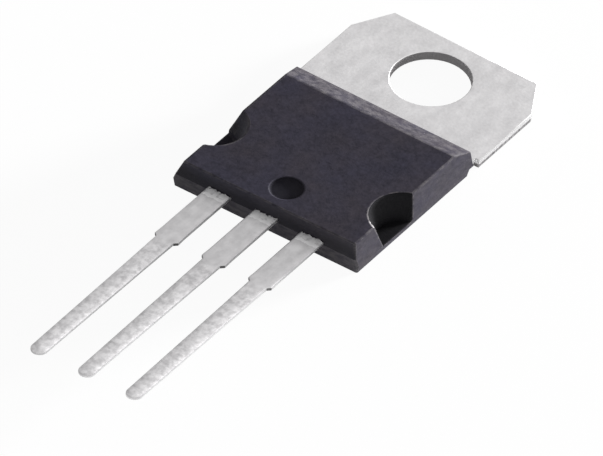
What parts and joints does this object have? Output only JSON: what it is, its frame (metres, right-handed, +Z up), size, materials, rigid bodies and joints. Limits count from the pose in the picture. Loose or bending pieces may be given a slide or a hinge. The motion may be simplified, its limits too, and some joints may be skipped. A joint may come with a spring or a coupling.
{
  "type": "power mosfet",
  "caption": "Moulded three-lead power transistor with a flat metal mounting tab, one screw hole, side clamping notches and straight stamped leads.",
  "frame": {"origin": "centre of the mounting hole, on the back face that meets the heatsink", "axes": "+X across the package from the gate side to the source side, +Y from the leads to the tab's end, +Z up from the back face to the plastic's top"},
  "size_m": [0.0102, 0.0288, 0.0045],
  "materials": {
    "moulding_compound": "fine satin, dark grey",
    "plated_copper": "matt tin plate",
    "plated_lead": "matt tin plate, stamped edges",
    "solder": "dull",
    "silicon": "polished",
    "bond_wire": "drawn"
  },
  "bodies": {
    "root": {"mould_body": "moulding_compound", "header_with_drain_lead": "plated_copper", "gate_lead": "plated_lead", "source_lead": "plated_lead", "chip_solder": "solder", "mosfet_chip": "silicon", "gate_wire": "bond_wire", "source_wire_inner": "bond_wire", "source_wire_outer": "bond_wire"}
  },
  "joints": []
}
